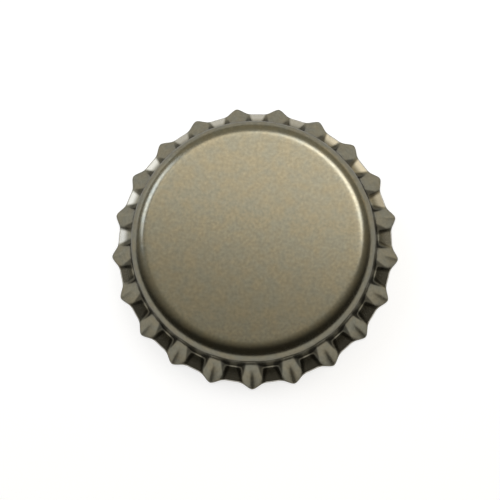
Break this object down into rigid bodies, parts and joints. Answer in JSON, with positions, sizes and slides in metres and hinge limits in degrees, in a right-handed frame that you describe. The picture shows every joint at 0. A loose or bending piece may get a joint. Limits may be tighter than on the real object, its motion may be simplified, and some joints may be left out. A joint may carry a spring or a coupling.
{
  "type": "crown bottle cap",
  "caption": "Crown bottle cap as pressed, not yet crimped: bare tinplate with a flat panel, a rounded shoulder and a flared fluted skirt, with a moulded seal inside.",
  "frame": {"origin": "on the cap's axis, level with the lowest edge of the open rim", "axes": "+Z along the cap's axis, out of the closed panel; +X through the crest of one flute"},
  "size_m": [0.032, 0.032, 0.006],
  "materials": {
    "bare_tinplate": "satin, clear lacquered, pale champagne grey",
    "liner_polymer": "soft moulded polymer, translucent off-white"
  },
  "bodies": {
    "root": {"cap_shell": "bare_tinplate", "sealing_liner": "liner_polymer"}
  },
  "joints": []
}
